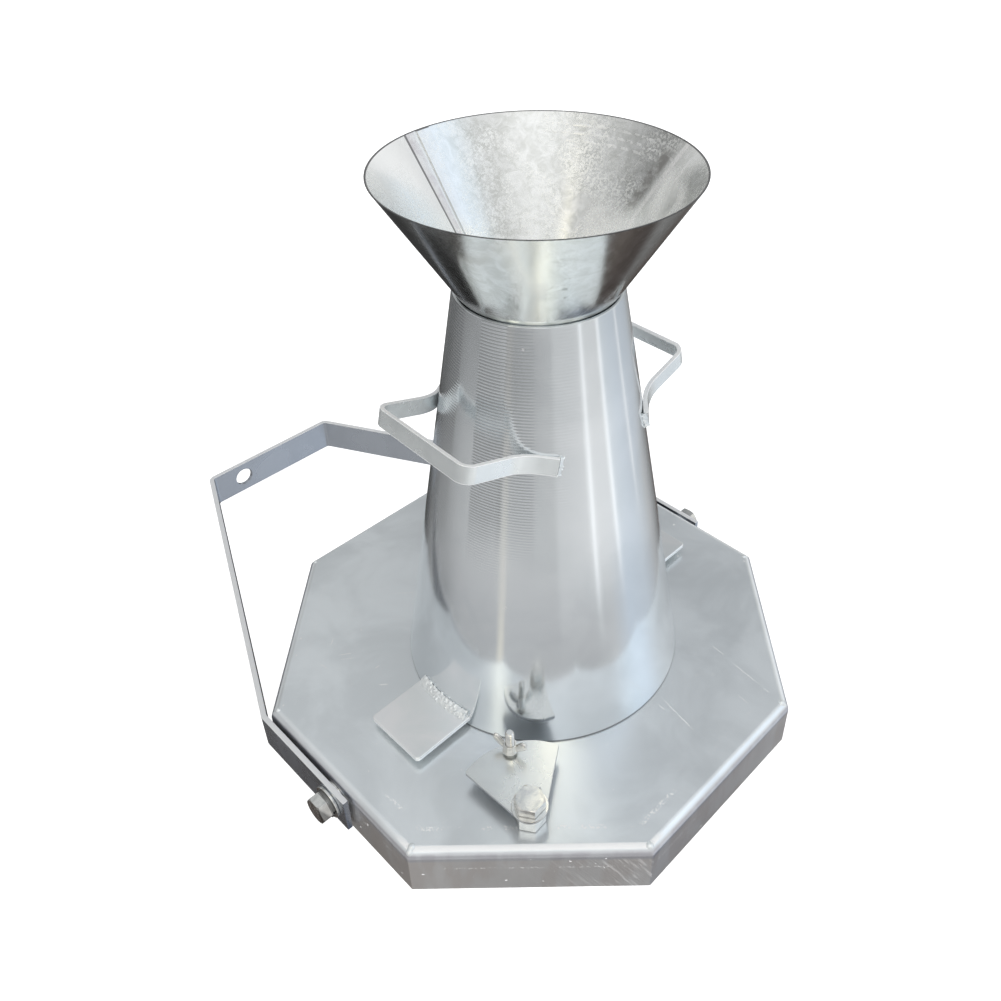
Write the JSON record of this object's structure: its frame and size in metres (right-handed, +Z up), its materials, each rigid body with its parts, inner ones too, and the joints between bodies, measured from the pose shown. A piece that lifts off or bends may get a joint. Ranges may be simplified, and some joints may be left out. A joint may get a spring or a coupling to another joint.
{
  "type": "slump cone",
  "caption": "Conical steel slump mould with foot plates, side handles and a filling funnel, standing on an octagonal tray with swing clamps and a carrying bail.",
  "frame": {"origin": "middle of the tray's top face, on which the mould stands", "axes": "+Z up; -Y towards the tray's front clamp; the bail's pivots lie along +X+Y and it lies back along -X+Y"},
  "size_m": [0.4852, 0.4659, 0.413],
  "materials": {
    "tray_paint": "worn satin aluminium paint",
    "mould_paint": "semi-gloss aluminium paint",
    "bar_paint": "satin aluminium paint",
    "weld_bead": "rough bead under aluminium paint",
    "galvanised_sheet": "galvanised, with faint spangle",
    "zinc_plate": "dull zinc plate",
    "spring_steel": "dark oiled spring steel"
  },
  "bodies": {
    "base": {"base_tray": "tray_paint", "bail_bolts": "zinc_plate", "bail_spring_washers": "spring_steel", "bail_washers": "zinc_plate", "bail_spacers": "zinc_plate", "bail_nuts": "zinc_plate", "clamp_bolts": "zinc_plate", "clamp_washers": "zinc_plate", "clamp_spacer_nuts": "zinc_plate", "clamp_lock_nuts": "zinc_plate"},
    "bail": {"bail": "bar_paint"},
    "clamp_front": {"clamp_plate_front": "bar_paint"},
    "clamp_rear": {"clamp_plate_rear": "bar_paint"},
    "screw_front": {"clamp_screw_front": "zinc_plate"},
    "screw_rear": {"clamp_screw_rear": "zinc_plate"},
    "wing_front": {"wing_nut_front": "zinc_plate"},
    "wing_rear": {"wing_nut_rear": "zinc_plate"},
    "mould": {"mould_shell": "mould_paint", "handle_front": "mould_paint", "handle_rear": "mould_paint", "handle_welds": "weld_bead", "foot_front": "mould_paint", "foot_rear": "mould_paint", "foot_welds": "weld_bead"},
    "funnel": {"funnel_hopper": "galvanised_sheet", "funnel_spigot": "galvanised_sheet"}
  },
  "joints": [
    {"name": "mould_lift", "type": "slide", "parent": "base", "child": "mould", "axis": [0, 0, 1], "range_m": [0, 0.35]},
    {"name": "funnel_lift", "type": "slide", "parent": "mould", "child": "funnel", "axis": [0, 0, 1], "range_m": [0, 0.12]},
    {"name": "bail_swing", "type": "hinge", "parent": "base", "child": "bail", "pos_m": [0, 0, -0.018], "axis": [0.7071, 0.7071, 0], "range_deg": [0, 75]},
    {"name": "clamp_front_swing", "type": "hinge", "parent": "base", "child": "clamp_front", "pos_m": [0, -0.162, 0], "axis": [0, 0, 1], "continuous": true},
    {"name": "screw_front_feed", "type": "slide", "parent": "clamp_front", "child": "screw_front", "axis": [0, 0, -1], "range_m": [0, 0.002]},
    {"name": "wing_front_turn", "type": "hinge", "parent": "screw_front", "child": "wing_front", "pos_m": [-0.01313, -0.12158, 0.01565], "axis": [0, 0, -1], "range_deg": [0, 720]},
    {"name": "clamp_rear_swing", "type": "hinge", "parent": "base", "child": "clamp_rear", "pos_m": [0, 0.162, 0], "axis": [0, 0, 1], "continuous": true},
    {"name": "screw_rear_feed", "type": "slide", "parent": "clamp_rear", "child": "screw_rear", "axis": [0, 0, -1], "range_m": [0, 0.002]},
    {"name": "wing_rear_turn", "type": "hinge", "parent": "screw_rear", "child": "wing_rear", "pos_m": [0.01313, 0.12158, 0.01565], "axis": [0, 0, -1], "range_deg": [0, 720]}
  ],
  "couplings": [
    {"joint": "screw_front_feed", "follows": "wing_front_turn", "m_per_rad": 0.00015915},
    {"joint": "screw_rear_feed", "follows": "wing_rear_turn", "m_per_rad": 0.00015915}
  ]
}
